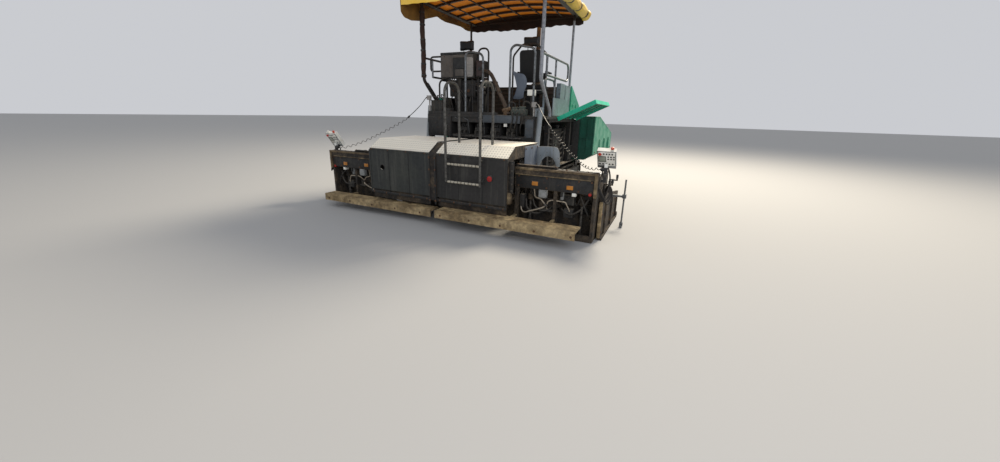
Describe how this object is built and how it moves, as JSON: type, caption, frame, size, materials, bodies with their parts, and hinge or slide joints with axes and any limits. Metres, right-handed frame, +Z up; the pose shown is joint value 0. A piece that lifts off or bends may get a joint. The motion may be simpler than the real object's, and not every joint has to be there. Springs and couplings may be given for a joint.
{
  "type": "asphalt paver",
  "caption": "Tracked road paver with receiving hopper, conveyor tunnel, augers and a towed screed whose side extensions slide in and out, under a cloth canopy.",
  "frame": {"origin": "on the ground, below the middle of the machine's box", "axes": "+Y is forward, +X is the machine's right, +Z is up"},
  "size_m": [5.436, 6.8, 3.7155],
  "materials": {
    "bare_steel": "grey tube steel",
    "black_steel": "black enamel",
    "chrome_rod": "polished",
    "console_plastic": "pale plastic",
    "cord_black": "black cord",
    "cord_white": "pale cord",
    "crusted_steel": "steel crusted with asphalt and sand",
    "dark_grey_paint": "dusty dark grey enamel",
    "engine_iron": "oily cast iron",
    "green_paint": "bright green gloss enamel",
    "hood_paint": "dark grey enamel with tar streaks",
    "pale_grey_paint": "pale grey enamel",
    "seat_vinyl": "black vinyl",
    "tan_rust": "heat-browned steel",
    "track_steel": "worn dirty steel",
    "worn_green_paint": "worn green enamel",
    "yellow_cloth": "faded coated cloth"
  },
  "bodies": {
    "tractor": {"chassis": "dark_grey_paint", "chassis_deck": "dark_grey_paint", "engine_block": "engine_iron", "side_tanks": "black_steel", "track_left": "track_steel", "track_right": "track_steel", "track_frames": "black_steel", "conveyor": "track_steel", "hopper_floor": "worn_green_paint", "body_frame": "dark_grey_paint", "engine_hood": "green_paint", "platform": "dark_grey_paint", "rear_cabinet": "dark_grey_paint", "hydraulics": "bare_steel", "seats": "seat_vinyl", "control_cabinet": "pale_grey_paint", "steering_console": "dark_grey_paint", "cable_sockets": "console_plastic", "entry_rails": "bare_steel", "handrails": "bare_steel", "exhaust_stack": "tan_rust", "canopy_frame": "black_steel", "canopy_cloth": "yellow_cloth", "auger_frame": "crusted_steel", "lift_cylinders": "pale_grey_paint", "lead_left": "cord_white", "lead_right": "cord_white"},
    "wing_left": {"hopper_wing_left": "worn_green_paint"},
    "wing_right": {"hopper_wing_right": "worn_green_paint"},
    "push_beam": {"push_beam": "worn_green_paint"},
    "push_roller_left": {"push_roller_left": "track_steel"},
    "push_roller_right": {"push_roller_right": "track_steel"},
    "flap_left": {"side_flap_left": "green_paint"},
    "flap_right": {"side_flap_right": "green_paint"},
    "auger_left": {"auger_left": "track_steel"},
    "auger_right": {"auger_right": "track_steel"},
    "lift_rod_left": {"lift_rod_left": "chrome_rod"},
    "lift_rod_right": {"lift_rod_right": "chrome_rod"},
    "screed": {"tow_arms": "dark_grey_paint", "screed_frame": "dark_grey_paint", "screed_hoods": "hood_paint", "ladder": "bare_steel", "joiner_left": "cord_black", "joiner_right": "cord_black", "curly_cord_left": "cord_black", "curly_cord_right": "cord_black"},
    "extension_left": {"extension_left": "crusted_steel", "guide_tube_left": "chrome_rod", "end_plate_left": "crusted_steel", "grade_sensor_left": "bare_steel", "footboard_left": "crusted_steel", "remote_left": "console_plastic"},
    "extension_right": {"extension_right": "crusted_steel", "guide_tube_right": "chrome_rod", "end_plate_right": "crusted_steel", "grade_sensor_right": "bare_steel", "footboard_right": "crusted_steel", "remote_right": "console_plastic"}
  },
  "joints": [
    {"name": "screed_lift", "type": "hinge", "parent": "tractor", "child": "screed", "pos_m": [0, 1.05, 0.45], "axis": [-1, 0, 0], "range_deg": [0, 7], "deforming": ["lead_left", "lead_right"]},
    {"name": "extension_left_slide", "type": "slide", "parent": "screed", "child": "extension_left", "axis": [1, 0, 0], "range_m": [0, 1.05], "deforming": ["curly_cord_left"]},
    {"name": "extension_right_slide", "type": "slide", "parent": "screed", "child": "extension_right", "axis": [-1, 0, 0], "range_m": [0, 1.05], "deforming": ["curly_cord_right"]},
    {"name": "lift_rod_left_slide", "type": "slide", "parent": "tractor", "child": "lift_rod_left", "axis": [0, 0.148, 0.989], "range_m": [0, 0.36]},
    {"name": "lift_rod_right_slide", "type": "slide", "parent": "tractor", "child": "lift_rod_right", "axis": [0, 0.148, 0.989], "range_m": [0, 0.36]},
    {"name": "wing_left_fold", "type": "hinge", "parent": "tractor", "child": "wing_left", "pos_m": [-0.83, 2.04, 0.7], "axis": [0, 1, 0], "range_deg": [0, 50]},
    {"name": "wing_right_fold", "type": "hinge", "parent": "tractor", "child": "wing_right", "pos_m": [0.83, 2.04, 0.7], "axis": [0, -1, 0], "range_deg": [0, 50]},
    {"name": "flap_left_hinge", "type": "hinge", "parent": "tractor", "child": "flap_left", "pos_m": [-1.218, -0.27, 1.62], "axis": [0, 1, 0], "range_deg": [0, 115]},
    {"name": "flap_right_hinge", "type": "hinge", "parent": "tractor", "child": "flap_right", "pos_m": [1.218, -0.27, 1.62], "axis": [0, 1, 0], "range_deg": [0, 115]},
    {"name": "auger_left_spin", "type": "hinge", "parent": "tractor", "child": "auger_left", "pos_m": [0, -1.74, 0.35], "axis": [1, 0, 0], "continuous": true},
    {"name": "auger_right_spin", "type": "hinge", "parent": "tractor", "child": "auger_right", "pos_m": [0, -1.74, 0.35], "axis": [1, 0, 0], "continuous": true},
    {"name": "push_beam_swivel", "type": "hinge", "parent": "tractor", "child": "push_beam", "pos_m": [0, 3.16, 0.52], "axis": [0, 0, 1], "range_deg": [-5, 5]},
    {"name": "push_roller_left_spin", "type": "hinge", "parent": "push_beam", "child": "push_roller_left", "pos_m": [-0.51, 3.32, 0.52], "axis": [1, 0, 0], "continuous": true},
    {"name": "push_roller_right_spin", "type": "hinge", "parent": "push_beam", "child": "push_roller_right", "pos_m": [0.51, 3.32, 0.52], "axis": [1, 0, 0], "continuous": true}
  ],
  "couplings": [
    {"joint": "lift_rod_left_slide", "follows": "screed_lift", "m_per_rad": 2.8592},
    {"joint": "lift_rod_right_slide", "follows": "screed_lift", "m_per_rad": 2.8592}
  ]
}
